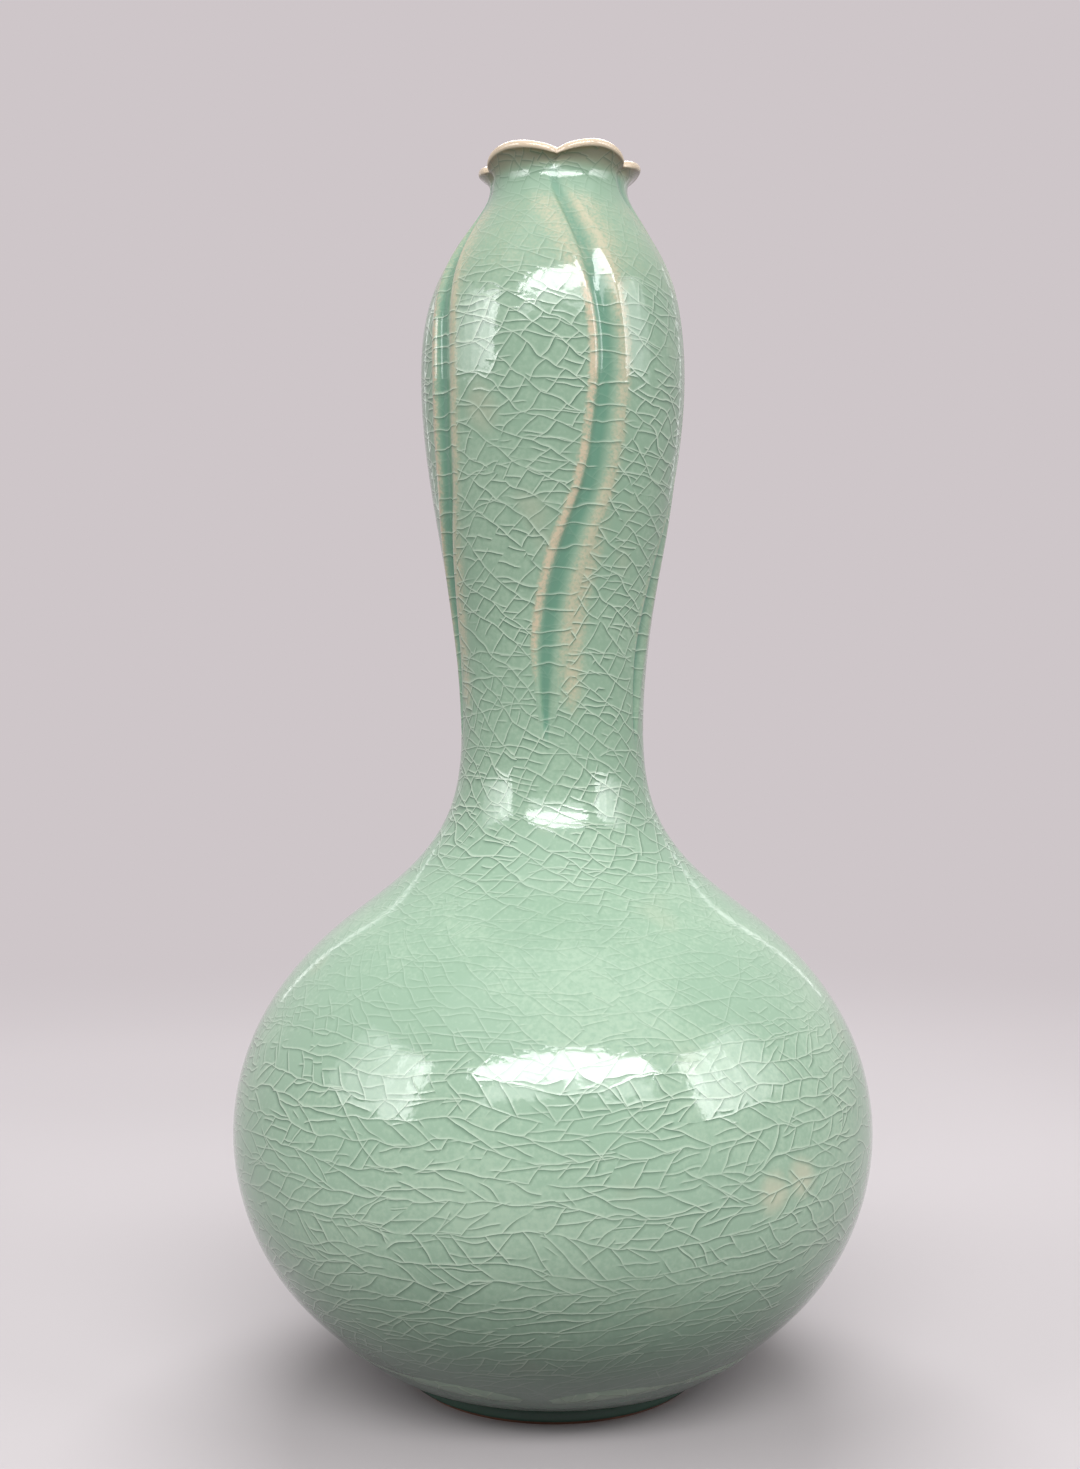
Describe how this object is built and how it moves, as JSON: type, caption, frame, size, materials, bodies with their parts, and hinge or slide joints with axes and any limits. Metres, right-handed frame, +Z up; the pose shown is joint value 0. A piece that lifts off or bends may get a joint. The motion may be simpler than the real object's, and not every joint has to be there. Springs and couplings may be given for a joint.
{
  "type": "double gourd vase",
  "caption": "Double gourd vase in celadon crackle glaze: round lower bulb, slim waist, grooved upper bulb and a flared petal rim, standing on a low foot ring.",
  "frame": {"origin": "middle of the foot ring's resting plane", "axes": "+Z up along the turning axis, -Y towards the viewer of the front groove, +X to that viewer's right"},
  "size_m": [0.1776, 0.1776, 0.3394],
  "materials": {
    "stoneware": "bare fired stoneware, matt, reddish brown",
    "slip": "fired joining slip, matt",
    "celadon_glaze": "glossy blue-green celadon with fine crackle",
    "liner_glaze": "glossy thin celadon"
  },
  "bodies": {
    "root": {"foot_ring": "stoneware", "foot_slip": "slip", "lower_bowl": "stoneware", "belly_slip": "slip", "shoulder": "stoneware", "neck_slip": "slip", "upper_bulb": "stoneware", "outer_glaze": "celadon_glaze", "inner_glaze": "liner_glaze", "base_glaze": "celadon_glaze"}
  },
  "joints": []
}
